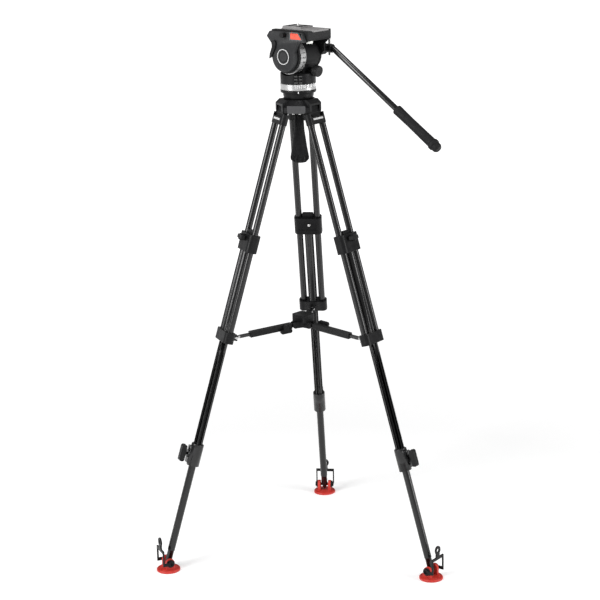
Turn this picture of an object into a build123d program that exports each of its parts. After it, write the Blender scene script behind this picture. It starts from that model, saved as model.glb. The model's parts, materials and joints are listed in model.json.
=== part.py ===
from build123d import *
from math import cos, radians, sin, sqrt, tan
import os

# Tripod with a fluid head, in millimetres, +Z up, standing on its three feet at rest.
# The lens points along -Y, the operator stands at +Y, and the left cover is on the +X side.
# Lengths on a leg are distances up the leg's axis from the foot pivot.

# ---- legs ----
LEG_AZIMUTHS = {"rear": 94.5, "right": 214.5, "left": 334.5}
LEG_ANGLE = 16.88            # lean of each leg from the vertical
LEG_LENGTH = 1141.0          # foot pivot to crown hinge
HINGE_RADIUS = 43.7          # crown hinge from the tripod's axis
PIVOT_HEIGHT = 22.5          # foot pivot above the floor
UPPER_TUBE_R = 8.0
UPPER_TUBE_SPACING = 46.0    # between the centres of the twin tubes
MID_TUBE_R = 11.0
LOWER_TUBE_R = 9.0
TUBE_WALL = 1.4
SLIDE_GAP = 0.25             # radial clearance of everything that slides on a tube
BRACKET_LOW = 1112.0         # crown bracket's lower end
BRACKET_HIGH = 1138.5
BRACKET_DEPTH = 19.0
BRACKET_WIDTH = 65.0
SOCKET_DEPTH = 18.0
COUPLING_LOW = 570.0
COUPLING_HIGH = 597.0
COUPLING_WIDTH = 71.0
COUPLING_DEPTH = 27.0
SLIDER_LOW = 797.0
SLIDER_HIGH = 841.0
SLIDER_WIDTH = 69.0
SLIDER_DEPTH = 30.0
CLAMP_LOW = 251.0
CLAMP_HIGH = 307.0
CLAMP_R = 15.5
LOWER_TUBE_TOP = 520.0

# ---- foot ----
FOOT_R = 29.0
FOOT_RIM = 5.0
EAR_GAP = 21.0               # between the two ears
EAR_THICK = 7.0
PIVOT_R = 4.0
BUTTON_R = 9.5
BAIL_TOP = 65.0              # ring's top above the pivot
BAIL_RING_R = 10.5
BAIL_HOLE_R = 5.0

# ---- spreader ----
SPREADER_PIVOT = 583.0       # height of the coupling pivots on the leg axis
LUG_REACH = 26.0             # pivot in front of the leg axis
HUB_RISE = 12.0              # hub pivots above the coupling pivots
HUB_PIVOT_R = 24.0
CHANNEL_WIDTH = 15.0
CHANNEL_HEIGHT = 14.0
CHANNEL_LENGTH = 110.0
BAR_OVERLAP = 26.0            # inner bar inside the channel
CHANNEL_FLOOR = 22.0         # where the channel's hollow starts
BAR_WIDTH = 9.0
BAR_HEIGHT = 7.0
TONGUE_THICK = 6.0
ARM_KNOB_X = 28.0            # thumb lever along the arm
THUMB_SIDES = {"rear": 1, "right": -1, "left": -1}
HUB_HIGH = 26.0              # hub block's top above the arm pivots

# ---- bowl, ball and tie-down ----
BALL_R = 37.2
BALL_GAP = 0.3
BALL_RISE = 46.0             # ball centre above the crown hinges
BOWL_SHELL = 8.5
BOWL_MOUTH_R = 17.0
RIM_DROP = 15.0              # bowl rim below the ball centre
FLANGE_R = 43.0
FLANGE_THICK = 7.0
STUD_R = 6.0
HANDLE_LENGTH = 119.0
HANDLE_TOP_R = 11.0
HANDLE_END_R = 22.5

# ---- head ----
RUNNING = 0.05               # radial clearance of a shaft in its bearing
FACE_GAP = 0.3               # between faces that turn on each other
DRAG_RING_HEIGHT = 15.0
RING_BOSS_R = 34.0
SPINDLE_R = 22.0
HOUSING_R = 42.4
HOUSING_HEIGHT = 26.0
TILT_RISE = 88.5             # tilt axis above the ball centre
DRUM_R = 38.0
DRUM_LEFT = 17.0             # drum's ends along X
DRUM_RIGHT = -38.0
DRUM_WALL = 4.0
AXLE_R = 7.0
TILT_RING_R = 43.0
TILT_RING_BOSS_R = 30.0
CHEEK_LEFT = 35.5
COVER_BACK = 40.0            # where the left cover meets the cheek
COVER_FACE = 50.0
CHEEK_RIGHT = -38.4
PLATFORM_LOW = 39.0          # platform's underside above the tilt axis
PLATFORM_THICK = 23.0
PLATFORM_HALF_WIDTH = 42.0
COVER_DROP = 3.0             # left cover's top edge below the platform's
PLATFORM_FRONT = -45.0
PLATFORM_REAR = 69.0
PLATE_HALF_WIDTH = 25.0
PLATE_THICK = 9.0
PLATE_FRONT = -27.0
PLATE_REAR = 77.0
CAMERA_SCREW_R = 3.175
CAMERA_SCREW_RISE = 5.5
SCREW_GAP = 0.6              # thread's start above the pad
SCREW_CHAMFER = 0.6
ROSETTE_Y = 32.0
ROSETTE_R = 15.0
ROSETTE_THICK = 7.0
BAR_R = 7.0
BAR_DROP = 33.7              # slope of the pan bar below the horizontal
BAR_LENGTH = 250.0           # bend to the grip's near end
GRIP_R = 12.0
GRIP_LENGTH = 130.0

HINGE_HEIGHT = PIVOT_HEIGHT + LEG_LENGTH * cos(radians(LEG_ANGLE))
FOOT_RADIUS = HINGE_RADIUS + LEG_LENGTH * sin(radians(LEG_ANGLE))
BALL_Z = HINGE_HEIGHT + BALL_RISE
RING_Z = BALL_Z + FLANGE_THICK + FACE_GAP
HOUSING_Z = RING_Z + DRAG_RING_HEIGHT + FACE_GAP
TILT_Z = BALL_Z + TILT_RISE
PLATFORM_Z = TILT_Z + PLATFORM_LOW
PLATFORM_TOP = PLATFORM_Z + PLATFORM_THICK
PLATE_Z = PLATFORM_TOP - 2.0


# ---- small makers ----
def rod(radius, low, high, x=0.0, y=0.0):
    """A cylinder along Z between two heights."""
    return Pos(x, y, (low + high) / 2) * Cylinder(radius, high - low)


def rod_x(radius, low, high, y=0.0, z=0.0):
    """A cylinder along X between two places."""
    return Pos((low + high) / 2, y, z) * Rot(0, 90, 0) * Cylinder(radius, high - low)


def rod_y(radius, low, high, x=0.0, z=0.0):
    """A cylinder along Y between two places."""
    return Pos(x, (low + high) / 2, z) * Rot(90, 0, 0) * Cylinder(radius, high - low)


def block(x_span, y_span, z_span):
    """A box from its three spans."""
    spans = (x_span, y_span, z_span)
    middle = [(low + high) / 2 for low, high in spans]
    size = [high - low for low, high in spans]
    return Pos(*middle) * Box(*size)


def slab(width, depth, low, high, corner):
    """An upright block with round vertical corners: depth along X, width along Y."""
    outline = RectangleRounded(depth, width, corner)
    return Pos(0, 0, low) * extrude(outline, amount=high - low)


def turned(points):
    """A solid of revolution about Z from (radius, height) points."""
    return revolve(make_face(Plane.XZ * Polyline(*points, close=True)), Axis.Z)


def profile_x(points, low, high):
    """A plate between two places along X, from an outline of (y, z) points."""
    face = make_face(Plane.YZ * Polyline(*points, close=True))
    return Pos(low, 0, 0) * extrude(face, amount=high - low, dir=(1, 0, 0))


def wing(radius, thick, reach, height):
    """A wing knob's head along +X: a round boss with two flat wings."""
    boss = rod_x(radius, 0, thick)
    wings = block((thick * 0.25, thick), (-reach, reach), (-height / 2, height / 2))
    return boss + wings


# ---- placing ----
def leg_plane(azimuth):
    """Origin at the foot pivot, Z up the leg, X outward, Y along the hinge."""
    a, lean = radians(azimuth), radians(LEG_ANGLE)
    origin = (FOOT_RADIUS * cos(a), FOOT_RADIUS * sin(a), PIVOT_HEIGHT)
    outward = (cos(lean) * cos(a), cos(lean) * sin(a), sin(lean))
    upward = (-sin(lean) * cos(a), -sin(lean) * sin(a), cos(lean))
    return Plane(origin=origin, x_dir=outward, z_dir=upward)


def foot_plane(azimuth):
    """Origin at the foot pivot, Z up, X outward."""
    a = radians(azimuth)
    origin = (FOOT_RADIUS * cos(a), FOOT_RADIUS * sin(a), PIVOT_HEIGHT)
    return Plane(origin=origin, x_dir=(cos(a), sin(a), 0), z_dir=(0, 0, 1))


def crown_plane(azimuth):
    """Origin on the tripod's axis at the hinge height, Z up, X outward."""
    a = radians(azimuth)
    return Plane(origin=(0, 0, HINGE_HEIGHT), x_dir=(cos(a), sin(a), 0), z_dir=(0, 0, 1))


def spreader_points():
    """The coupling pivot's radius and height, then the hub pivot's."""
    lean = radians(LEG_ANGLE)
    radius = FOOT_RADIUS - SPREADER_PIVOT * sin(lean) - LUG_REACH * cos(lean)
    height = PIVOT_HEIGHT + SPREADER_PIVOT * cos(lean) - LUG_REACH * sin(lean)
    return radius, height, HUB_PIVOT_R, height + HUB_RISE


def arm_plane(azimuth):
    """Origin at the hub pivot, X along the arm towards the leg."""
    outer_r, outer_z, hub_r, hub_z = spreader_points()
    a = radians(azimuth)
    run, drop = outer_r - hub_r, hub_z - outer_z
    length = sqrt(run**2 + drop**2)
    along = (run / length * cos(a), run / length * sin(a), -drop / length)
    upward = (drop / length * cos(a), drop / length * sin(a), run / length)
    origin = (hub_r * cos(a), hub_r * sin(a), hub_z)
    return Plane(origin=origin, x_dir=along, z_dir=upward)


def arm_length():
    outer_r, outer_z, hub_r, hub_z = spreader_points()
    return sqrt((outer_r - hub_r) ** 2 + (hub_z - outer_z) ** 2)


# ---- crown ----
BLOCK_R = 48.0               # outer faces of the three blocks between the legs
BLOCK_HIGH = 20.0            # blocks' top above the hinges
LUG_R = 51.0                 # outer edge of the housing over each leg's hinge
LUG_HALF_WIDTH = 22.0
LUG_HIGH = 22.4              # its outer edge above the hinges
LUG_UNDER = 17.5             # its ceiling above the hinges
HINGE_BLOCK_WIDTH = 30.0     # leg bracket's hinge block between the lug's walls
HINGE_PIN_R = 3.0
HINGE_PIN_LENGTH = 42.0
BARREL_R = 7.0


def crown():
    """Bowl with three blocks between the legs and a roofed lug over each leg's hinge."""
    rim, mouth = BALL_RISE - RIM_DROP, BALL_R + 1.6
    slope = (rim - BLOCK_HIGH) / (BLOCK_R - mouth)
    cone = turned([(0, 0), (mouth + rim / slope, 0), (mouth, rim), (0, rim)])
    outline = RegularPolygon(BLOCK_R, 6, major_radius=False, rotation=LEG_AZIMUTHS["rear"] - 30)
    blocks = extrude(outline, amount=rim)
    blocks = chamfer(blocks.edges().filter_by(Axis.Z), 5) & cone
    walls = HINGE_BLOCK_WIDTH / 2 + FACE_GAP
    body = blocks
    for azimuth in LEG_AZIMUTHS.values():
        turn = Rot(0, 0, azimuth)
        body = body + turn * lug_roof(rim, mouth)
        body = body - turn * block((30.5, 80), (-walls, walls), (-40, LUG_UNDER))
        body = body - turn * block((31, 80), (-36, 36), (-40, 1.5))
        body = body + turn * hinge_cheeks(walls)
    body = body - Pos(0, 0, BALL_RISE) * Sphere(BALL_R + BALL_GAP)
    body = body - rod(BOWL_MOUTH_R, -40, BALL_RISE)
    below = rod(30.0, -40, BALL_RISE) - Pos(0, 0, BALL_RISE) * Sphere(BALL_R + BALL_GAP + BOWL_SHELL)
    return Pos(0, 0, HINGE_HEIGHT) * (body - below)


def lug_roof(rim, mouth):
    """Roof from the bowl's rim down to the lug's outer edge."""
    profile = [(20, LUG_UNDER - 1), (LUG_R, LUG_UNDER - 1), (LUG_R, LUG_HIGH), (mouth + 2, rim), (20, rim)]
    return Rot(0, 0, -90) * profile_x(profile, -LUG_HALF_WIDTH, LUG_HALF_WIDTH)


def hinge_cheeks(inner):
    """The lug's two side walls, bored for the leg's hinge pin."""
    wall = block((HINGE_RADIUS - 12, LUG_R), (inner, LUG_HALF_WIDTH), (3.5, LUG_HIGH - 1))
    wall = wall + rod_y(BARREL_R, inner, LUG_HALF_WIDTH, x=HINGE_RADIUS)
    wall = wall - rod_y(HINGE_PIN_R, 0, 40, x=HINGE_RADIUS)
    return wall + mirror(wall, Plane.XZ)


def crown_fasteners():
    """Three hinge pins, and two screws under each block between the legs."""
    solids = []
    for azimuth in LEG_AZIMUTHS.values():
        pin = rod_y(HINGE_PIN_R, -HINGE_PIN_LENGTH / 2, HINGE_PIN_LENGTH / 2, x=HINGE_RADIUS)
        solids.append(crown_plane(azimuth).location * pin)
        for side in (-8, 8):
            head = rod(3.2, -2.2, 0, x=BLOCK_R - 7, y=side)
            solids.append(crown_plane(azimuth + 60).location * head)
    return Compound(children=solids)


# ---- ball and tie-down ----
def levelling_ball():
    """Half ball, its flange and the boss that the pan drag ring turns on."""
    ball = Sphere(BALL_R) - block((-50, 50), (-50, 50), (0, 60))
    flange = rod(FLANGE_R, 0, FLANGE_THICK)
    flange = chamfer(flange.edges().group_by(Axis.Z)[0], 1.5)
    boss = rod(RING_BOSS_R, FLANGE_THICK, FLANGE_THICK + FACE_GAP + DRAG_RING_HEIGHT)
    socket = rod(SPINDLE_R + RUNNING, -10, 40)
    stud = rod(STUD_R, -60, -14)
    return Pos(0, 0, BALL_Z) * (ball + flange + boss - socket - stud)


def clamp_bolt():
    """Stud that draws the ball into the bowl."""
    return Pos(0, 0, BALL_Z) * rod(STUD_R, -BALL_R - 38, -14)


def clamp_cup():
    """Cup that bears on the underside of the bowl."""
    outer = BALL_R + BALL_GAP + BOWL_SHELL
    cup = rod(19.5, -outer - 6, -outer + 12) - Sphere(outer + BALL_GAP)
    return Pos(0, 0, BALL_Z) * (cup - rod(STUD_R, -80, 0))


def bowl_clamp_handle():
    """Long fluted handle, screwed on the stud."""
    top = -BALL_R - BALL_GAP - BOWL_SHELL - 6 - FACE_GAP
    end = top - HANDLE_LENGTH
    body = turned([
        (0, top), (HANDLE_TOP_R - 1, top), (HANDLE_TOP_R, top - 1.5), (HANDLE_TOP_R + 1.5, top - 38),
        (HANDLE_END_R - 4.5, end + 40), (HANDLE_END_R, end + 14), (HANDLE_END_R - 0.5, end + 8),
        (HANDLE_END_R - 7, end + 1.5), (0, end),
    ])
    for step in range(12):
        flute = Rot(0, 0, step * 30) * Pos(HANDLE_END_R + 3.4, 0, end + 30) * Rot(0, 9, 0) * Cylinder(4.2, 90)
        body = body - flute
    return Pos(0, 0, BALL_Z) * (body - rod(STUD_R + RUNNING, -BALL_R - 38 - FACE_GAP, top + 1))


# ---- pan ----
def pan_drag_ring():
    """Drag ring with finger scallops."""
    ring = rod(FLANGE_R, 0, DRAG_RING_HEIGHT) - rod(RING_BOSS_R + RUNNING, -1, DRAG_RING_HEIGHT + 1)
    ring = chamfer(ring.edges().filter_by(GeomType.CIRCLE).sort_by(Edge.length)[-2:], 1.0)
    for step in range(10):
        scoop = Rot(0, 0, step * 12 + 30) * Pos(FLANGE_R + 3.2, 0, DRAG_RING_HEIGHT - 3) * Cylinder(4.6, 12)
        ring = ring - scoop
    return Pos(0, 0, RING_Z) * ring


def pan_housing():
    """Pan housing with its spindle, and the tilt drum that stands on it."""
    base = rod(HOUSING_R, 0, HOUSING_HEIGHT)
    base = chamfer(base.edges().group_by(Axis.Z)[-1], 2.0)
    spindle = rod(SPINDLE_R, -DRAG_RING_HEIGHT - FLANGE_THICK - 7, 0)
    axis = TILT_Z - HOUSING_Z
    drum = rod_x(DRUM_R, DRUM_RIGHT, DRUM_LEFT, z=axis) + rod_x(TILT_RING_BOSS_R, DRUM_LEFT, CHEEK_LEFT - FACE_GAP, z=axis)
    web = block((DRUM_RIGHT + 4, DRUM_LEFT - 2), (-30, 30), (HOUSING_HEIGHT - 4, axis - 10))
    inside = rod_x(DRUM_R - DRUM_WALL, DRUM_RIGHT + DRUM_WALL, DRUM_LEFT - DRUM_WALL, z=axis)
    bore = rod_x(AXLE_R + RUNNING, DRUM_RIGHT - 5, CHEEK_LEFT + 5, z=axis)
    clear_cheek = rod_x(TILT_RING_R + 3, DRUM_LEFT, 60, z=axis)
    knob_room = knob_place(axis) * rod(KNOB_R + 0.6, 8.4, 60)
    body = base - clear_cheek - knob_room + drum + web - inside - bore + spindle
    body = body - knob_seat(axis) - brake_seat()
    return Pos(0, 0, HOUSING_Z) * body


KNOB_Y, KNOB_X, KNOB_DROP, KNOB_TIP = 34.0, -12.0, 33.0, 12.0
KNOB_R = 13.5


def knob_place(axis):
    """Where the counterbalance knob's shaft leaves the drum: Z points out of it."""
    return Pos(KNOB_X, KNOB_Y, axis - KNOB_DROP) * Rot(-90 - KNOB_TIP, 0, 0)


def knob_seat(axis):
    return knob_place(axis) * rod(4.0 + RUNNING, -16, 8)


def brake_seat():
    return Rot(0, 0, 42) * rod_x(4.0 + RUNNING, HOUSING_R - 14, HOUSING_R + 5, z=HOUSING_HEIGHT / 2)


def pan_brake_lever():
    """Ribbed block that turns the pan brake."""
    shaft = rod_x(4.0, HOUSING_R - 14, HOUSING_R + 2)
    head = block((HOUSING_R + 0.5, HOUSING_R + 9), (-12, 12), (-9, 9))
    head = fillet(head.edges().filter_by(Axis.X), 3)
    for y in (-7, 0, 7):
        head = head - block((HOUSING_R + 7, HOUSING_R + 10), (y - 1.6, y + 1.6), (-10, 10))
    return Pos(0, 0, HOUSING_Z + HOUSING_HEIGHT / 2) * Rot(0, 0, 42) * (shaft + head)


def counterbalance_knob():
    """Ribbed knob of the counterbalance."""
    shaft = rod(4.0, -14, 10)
    head = rod(KNOB_R, 9, 24)
    head = chamfer(head.edges().group_by(Axis.Z)[-1], 1.5)
    for step in range(14):
        head = head - Rot(0, 0, step * 360 / 14) * rod(1.5, 10, 30, x=KNOB_R + 0.5)
    return Pos(0, 0, HOUSING_Z) * knob_place(TILT_Z - HOUSING_Z) * (shaft + head)


def counterbalance_spring():
    """Spring pack inside the drum."""
    pack = rod_x(DRUM_R - DRUM_WALL - 9, DRUM_RIGHT + DRUM_WALL, DRUM_LEFT - DRUM_WALL, z=TILT_Z)
    return pack - rod_x(AXLE_R + 5, -60, 60, z=TILT_Z)


def tilt_axle():
    return rod_x(AXLE_R, CHEEK_RIGHT - 8, CHEEK_LEFT + 8, z=TILT_Z)


def tilt_drag_ring():
    """Numbered drag ring beside the left cheek."""
    low, high = DRUM_LEFT + FACE_GAP, CHEEK_LEFT - FACE_GAP
    ring = rod_x(TILT_RING_R, low, high) - rod_x(TILT_RING_BOSS_R + RUNNING, low - 1, high + 1)
    for step in range(8):
        ring = ring - Rot(step * 14 + 110, 0, 0) * rod_x(4.0, high - 7, high + 1, y=TILT_RING_R + 2.6)
    return Pos(0, 0, TILT_Z) * ring


# ---- tilt body ----
def cheek_outline(radius):
    """The left cover's outline about the tilt axis: a round bottom that widens into a nose."""
    arc = [(radius * cos(radians(a)), radius * sin(radians(a))) for a in range(-200, 21, 10)]
    low, top = PLATFORM_LOW - 2, PLATFORM_LOW + PLATFORM_THICK - COVER_DROP
    return arc + [
        (41, 30), (46, low), (66, low), (57, top), (PLATFORM_FRONT + 2, top),
        (-51, 49), (-52, 46), (-36.5, 29),
    ]


def tilt_body():
    """Platform with the plate guide, between its left and right cheeks."""
    axis = TILT_Z
    platform = block(
        (-PLATFORM_HALF_WIDTH, COVER_BACK),
        (PLATFORM_FRONT, PLATFORM_REAR),
        (PLATFORM_LOW, PLATFORM_LOW + PLATFORM_THICK),
    )
    left = profile_x(cheek_outline(41), CHEEK_LEFT, COVER_BACK)
    right = profile_x(right_outline(), CHEEK_RIGHT - 4, CHEEK_RIGHT)
    body = platform + left + right
    body = body - rod_x(TILT_RING_R + 0.6, DRUM_LEFT - 0.5, CHEEK_LEFT)
    guide = block(
        (-PLATE_HALF_WIDTH - SLIDE_GAP, PLATE_HALF_WIDTH + SLIDE_GAP), (-200, 200),
        (PLATFORM_LOW + PLATFORM_THICK - 2 - SLIDE_GAP, 100),
    )
    body = body - guide - rod_x(AXLE_R, -60, 60)
    body = body - rod_x(3.0 + RUNNING, CHEEK_LEFT - 7, 80, y=4, z=PLATFORM_LOW + 13)
    rosette = rod_x(ROSETTE_R, CHEEK_RIGHT - 11.3, CHEEK_RIGHT - 4, y=ROSETTE_Y, z=rosette_rise())
    body = body + rosette - rod_x(4.0 + RUNNING, -80, CHEEK_RIGHT - 1, y=ROSETTE_Y, z=rosette_rise())
    return Pos(0, 0, axis) * body


def rosette_rise():
    """The pan bar's rosette above the tilt axis."""
    return 12.0


def right_outline():
    arc = [(39 * cos(radians(a)), 39 * sin(radians(a))) for a in range(-180, 1, 12)]
    return arc + [(50, 8), (50, 26), (PLATFORM_REAR, 42), (PLATFORM_REAR, 60), (PLATFORM_FRONT, 60), (-39, 30)]


def left_cover():
    """Domed side cover with the lever frame."""
    cover = profile_x(cheek_outline(36.5), COVER_BACK, COVER_FACE)
    cover = cover - block((COVER_FACE - 5, 80), (23, 57), (PLATFORM_LOW + 3, PLATFORM_LOW + 19))
    cap = rod_x(19, COVER_FACE, COVER_FACE + 1.5)
    socket = rod_x(AXLE_R, 0, CHEEK_LEFT + 8)
    seat = rod_x(3.0 + RUNNING, 0, 80, y=4, z=PLATFORM_LOW + 13)
    lever = rod_x(3.0 + RUNNING, 0, 80, y=-27, z=31)
    pivot = rod(1.5 + RUNNING, PLATFORM_LOW, PLATFORM_LOW + 22, x=COVER_FACE - 2.5, y=26)
    pivot = pivot + rod(4.0, PLATFORM_LOW + 3, PLATFORM_LOW + 19, x=COVER_FACE - 2.5, y=26)
    return Pos(0, 0, TILT_Z) * (cover + cap - socket - seat - lever - pivot)


def right_cover():
    """Flat cap over the right cheek, clear of the rosette."""
    arc = [(34 * cos(radians(a)), 34 * sin(radians(a))) for a in range(-200, 11, 10)]
    plate = profile_x(arc + [(12, 25), (-20, 34)], CHEEK_RIGHT - 9, CHEEK_RIGHT - 4)
    plate = plate - rod_x(ROSETTE_R + 0.5, -80, 0, y=ROSETTE_Y, z=rosette_rise())
    return Pos(0, 0, TILT_Z) * (plate - rod_x(AXLE_R, CHEEK_RIGHT - 8, 0))


def bubble_level():
    """Round level under the platform's rear left corner."""
    vial = rod(7.5, PLATFORM_LOW - 6, PLATFORM_LOW, x=24, y=60)
    return Pos(0, 0, TILT_Z) * vial


def tilt_brake_lever():
    """Curved lever over the front edge of the left cover."""
    pivot = rod_x(3.0, CHEEK_LEFT + 6, COVER_FACE + 1, y=-27, z=31)
    hub = rod_x(6.5, COVER_FACE + 0.3, COVER_FACE + 5, y=-27, z=31)
    arm = profile_x(
        [(-27, 37), (-21, 31), (-22, 22), (-30, 8), (-36, -3), (-42, -6), (-40, 6), (-33, 22), (-33, 30)],
        COVER_FACE + 0.3, COVER_FACE + 4.5,
    )
    return Pos(0, 0, TILT_Z) * (pivot + hub + arm)


def plate_clamp_knob():
    """Knob that locks the sliding plate."""
    shaft = rod_x(3.0, CHEEK_LEFT - 6, COVER_FACE + 1)
    head = rod_x(6.5, COVER_FACE + 0.3, COVER_FACE + 11)
    for step in range(8):
        head = head - Rot(step * 45, 0, 0) * rod_x(0.8, COVER_FACE + 3, COVER_FACE + 12, y=6.8)
    return Pos(0, 4, PLATFORM_Z + 13) * (shaft + head)


def release_lever():
    """Red lever in the left cover's frame, on an upright pin at its front end."""
    face = profile_x(
        [(24, 4.5), (24, 17.5), (46, 17.5), (56, 4.5)], COVER_FACE - 4.5, COVER_FACE + 0.5
    )
    pin = rod(1.5, 1, 21, x=COVER_FACE - 2.5, y=26)
    return Pos(0, 0, PLATFORM_Z) * (face + pin)


# ---- camera plate ----
def camera_plate():
    """Sliding plate: a rail in the guide with a raised pad for the camera."""
    rail = block((-PLATE_HALF_WIDTH, PLATE_HALF_WIDTH), (PLATE_FRONT, PLATE_REAR), (0, 5))
    pad = block((-PLATE_HALF_WIDTH + 3, PLATE_HALF_WIDTH - 3), (PLATE_FRONT, PLATE_FRONT + 58), (4, PLATE_THICK))
    bore = rod(CAMERA_SCREW_R + RUNNING, -1, 20, y=PLATE_FRONT + 30)
    head_room = rod(7.3, -1, 3.3, y=PLATE_FRONT + 30)
    return Pos(0, 0, PLATE_Z) * (rail + pad - bore - head_room)


def camera_screw():
    """Captive camera screw: its head sunk in the plate's underside, a waist and a short thread."""
    thread = rod(CAMERA_SCREW_R, PLATE_THICK + SCREW_GAP, PLATE_THICK + CAMERA_SCREW_RISE)
    thread = chamfer(thread.edges().group_by(Axis.Z)[-1], SCREW_CHAMFER)
    waist = rod(CAMERA_SCREW_R - 0.7, 1, PLATE_THICK + 1)
    return Pos(0, PLATE_FRONT + 30, PLATE_Z) * (thread + waist + rod(7.0, 0.3, 3))


# ---- pan bar ----
def bar_clamp():
    """Rosette half and the socket that holds the bar."""
    high = CHEEK_RIGHT - 11.3 - FACE_GAP
    disc = rod_x(ROSETTE_R, high - ROSETTE_THICK, high)
    socket = rod_y(BAR_R + 3.5, -2, 24, x=high - 12)
    body = disc + socket
    body = body + block((high - 16, high - 2), (-8, 10), (-7, 7))
    body = body - rod_x(4.0 + RUNNING, -120, 0) - rod_y(BAR_R, 6, 60, x=high - 12)
    return Pos(0, ROSETTE_Y, TILT_Z + rosette_rise()) * body


def bar_centre_x():
    return CHEEK_RIGHT - 11.3 - FACE_GAP - 12


def bar_screw():
    """Wing screw through the rosette."""
    tip = CHEEK_RIGHT - 3
    head = rod_x(9, bar_centre_x() - 21, bar_centre_x() - 13.5)
    wings = block((bar_centre_x() - 20, bar_centre_x() - 16), (-3, 3), (-20, 20))
    shaft = rod_x(4.0, bar_centre_x() - 12, tip)
    return Pos(0, ROSETTE_Y, TILT_Z + rosette_rise()) * (head + wings + shaft)


BEND_START, BEND_R = 12.0, 26.0


def bar_path():
    """Level start, one bend, then the long slope: plane YZ through the bar's centre."""
    slope = radians(BAR_DROP)
    start = (6.0, 0.0)
    knee = (6.0 + BEND_START + BEND_R * tan(slope / 2), 0.0)
    end = (knee[0] + BAR_LENGTH * cos(slope), -BAR_LENGTH * sin(slope))
    return start, knee, end


def pan_bar():
    start, knee, end = bar_path()
    line = FilletPolyline(start, knee, end, radius=BEND_R)
    path = Pos(bar_centre_x(), ROSETTE_Y, TILT_Z + rosette_rise()) * (Plane.YZ * line)
    section = Plane(origin=path @ 0, z_dir=path % 0) * Circle(BAR_R)
    return sweep(section, path=path)


def grip():
    """Grip with a ring step near its end."""
    _, knee, end = bar_path()
    slope = radians(BAR_DROP)
    body = turned([
        (0, -18), (GRIP_R - 1, -18), (GRIP_R, -16), (GRIP_R - 0.8, 30), (GRIP_R, GRIP_LENGTH - 24),
        (GRIP_R + 2, GRIP_LENGTH - 22), (GRIP_R + 2, GRIP_LENGTH - 15), (GRIP_R, GRIP_LENGTH - 13),
        (GRIP_R - 0.5, GRIP_LENGTH - 5), (GRIP_R - 4, GRIP_LENGTH), (0, GRIP_LENGTH),
    ]) - rod(BAR_R, -30, 0)
    origin = (bar_centre_x(), ROSETTE_Y + end[0], TILT_Z + rosette_rise() + end[1])
    place = Plane(origin=origin, x_dir=(1, 0, 0), z_dir=(0, cos(slope), -sin(slope)))
    return place.location * body


# ---- leg: modelled on the leg plane ----
def twin(radius, low, high):
    """Two rods side by side at the twin tubes' spacing."""
    half = UPPER_TUBE_SPACING / 2
    return rod(radius, low, high, y=-half) + rod(radius, low, high, y=half)


def leg_castings():
    """Crown bracket with its hinge block, and the coupling at the other end of the twin tubes."""
    hinge, half = LEG_LENGTH, BRACKET_WIDTH / 2
    bracket = slab(BRACKET_WIDTH, BRACKET_DEPTH, BRACKET_LOW, BRACKET_HIGH, 9)
    room = LUG_HALF_WIDTH + 1.0
    bracket = bracket - block((-20, 20), (-room, room), (hinge - BARREL_R - 4, hinge + 20))
    tongue = block((-8, 6), (-HINGE_BLOCK_WIDTH / 2, HINGE_BLOCK_WIDTH / 2), (BRACKET_LOW + 6, hinge + 14))
    barrel = rod_y(BARREL_R - 0.5, -HINGE_BLOCK_WIDTH / 2, HINGE_BLOCK_WIDTH / 2, z=hinge)
    bracket = bracket + tongue + barrel
    bracket = bracket - rod_y(HINGE_PIN_R + RUNNING, -half, half, z=hinge)
    bracket = bracket - twin(UPPER_TUBE_R, BRACKET_LOW - 1, BRACKET_LOW + SOCKET_DEPTH)
    coupling = slab(COUPLING_WIDTH, COUPLING_DEPTH, COUPLING_LOW, COUPLING_HIGH, 11)
    coupling = coupling - rod(MID_TUBE_R + SLIDE_GAP, 0, 1000)
    coupling = coupling - twin(UPPER_TUBE_R, COUPLING_LOW + 5, 1000)
    return Compound(children=[bracket, coupling + spreader_lug()])


def spreader_lug():
    """Two ears on the inner side of the coupling, open towards the tripod's axis."""
    inner, outer = TONGUE_THICK / 2 + 0.6, TONGUE_THICK / 2 + 4.1
    ear = block((-LUG_REACH - 5, -COUPLING_DEPTH / 2 + 1), (inner, outer), (SPREADER_PIVOT - 7, SPREADER_PIVOT + 7))
    ear = ear - rod_y(3.2, 0, 20, x=-LUG_REACH, z=SPREADER_PIVOT)
    ear = ear - block((-LUG_REACH - 10, -LUG_REACH), (0, 20), (SPREADER_PIVOT - 3.2, SPREADER_PIVOT + 3.2))
    return ear + mirror(ear, Plane.XZ)


def upper_tubes():
    """Twin tubes from the crown bracket to the coupling."""
    low, high = COUPLING_LOW + 5, BRACKET_LOW + SOCKET_DEPTH
    half = UPPER_TUBE_SPACING / 2
    tubes = [rod(UPPER_TUBE_R, low, high, y=y) - rod(UPPER_TUBE_R - TUBE_WALL, low - 1, high + 1, y=y)
             for y in (-half, half)]
    return Compound(children=tubes)


def slider():
    """Clamp body that runs on the twin tubes and holds the mid tube."""
    body = slab(SLIDER_WIDTH, SLIDER_DEPTH, SLIDER_LOW, SLIDER_HIGH, 11)
    tab = slab(28, 14, SLIDER_HIGH - 1, SLIDER_HIGH + 9, 4)
    body = body + tab - twin(UPPER_TUBE_R + SLIDE_GAP, 0, 2000)
    body = body - rod(MID_TUBE_R, 0, SLIDER_HIGH - 8)
    recess = block((-SLIDER_DEPTH / 2 - 1, -SLIDER_DEPTH / 2 + 1.2), (-22.5, 22.5), (SLIDER_LOW + 12, SLIDER_LOW + 30))
    shaft = rod_x(3.5 + RUNNING, MID_TUBE_R + 1.5, 60, z=SLIDER_HIGH - 12)
    return body - recess - shaft


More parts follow.
